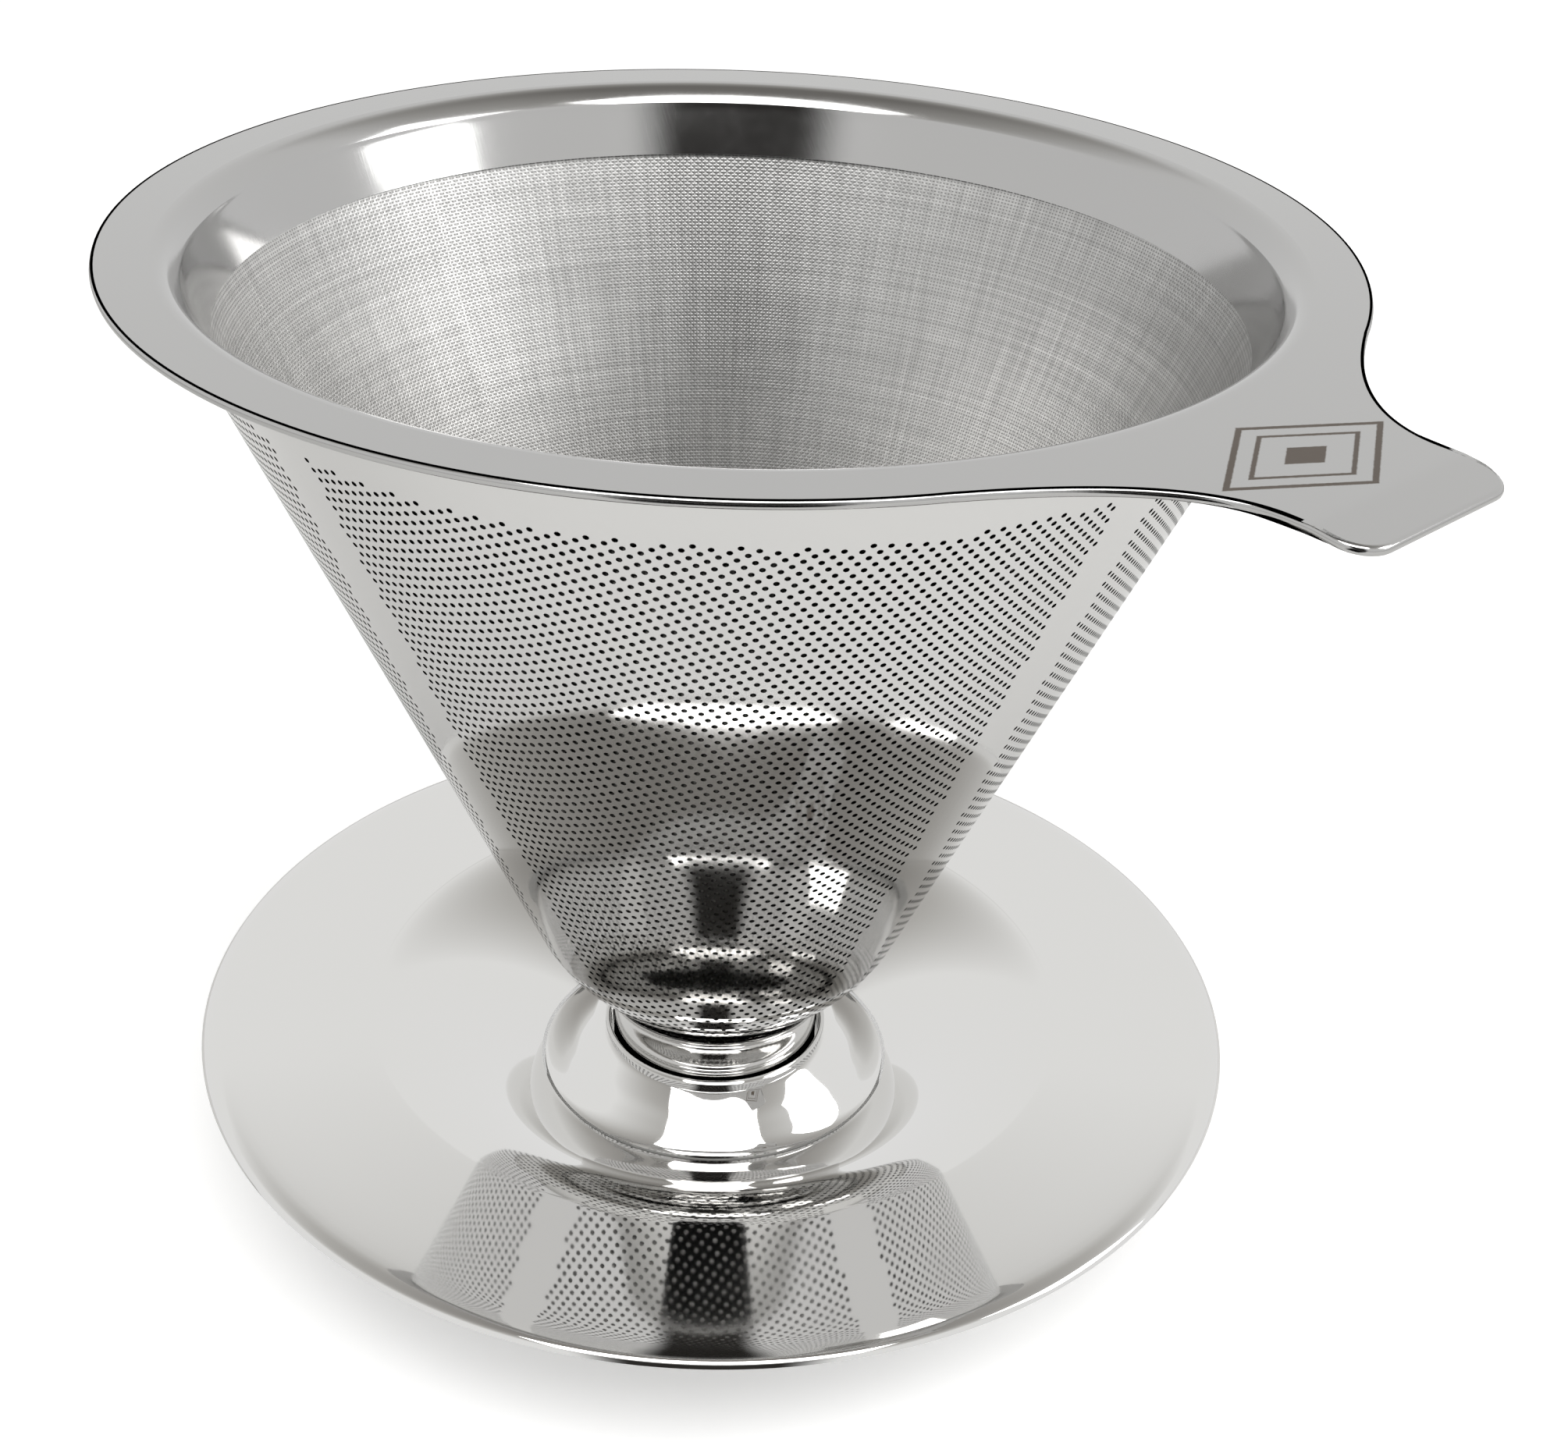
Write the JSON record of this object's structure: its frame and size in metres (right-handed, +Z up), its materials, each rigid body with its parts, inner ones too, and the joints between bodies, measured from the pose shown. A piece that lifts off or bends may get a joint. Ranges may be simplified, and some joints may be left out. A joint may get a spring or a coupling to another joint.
{
  "type": "pour over coffee dripper",
  "caption": "Reusable steel pour over dripper: a perforated cone with a mesh lining, a wide rim and a thumb tab, standing in a round cup saucer.",
  "frame": {"origin": "centre of the bounding box in plan, at the height the saucer's foot stands on", "axes": "+Z up along the cone's axis, +X towards the thumb tab"},
  "size_m": [0.1448, 0.125, 0.1141],
  "materials": {
    "polished_steel": "mirror polished stainless steel",
    "satin_steel": "satin perforated stainless sheet",
    "woven_steel": "fine woven stainless mesh"
  },
  "bodies": {
    "stand": {"stand_saucer": "polished_steel", "stand_hub": "polished_steel", "stand_foot": "satin_steel"},
    "filter": {"rim_flange": "polished_steel", "outer_cone": "satin_steel", "inner_mesh": "woven_steel", "mesh_floor": "woven_steel"}
  },
  "joints": [
    {"name": "filter_lift", "type": "slide", "parent": "stand", "child": "filter", "axis": [0, 0, 1], "range_m": [0, 0.12]}
  ]
}
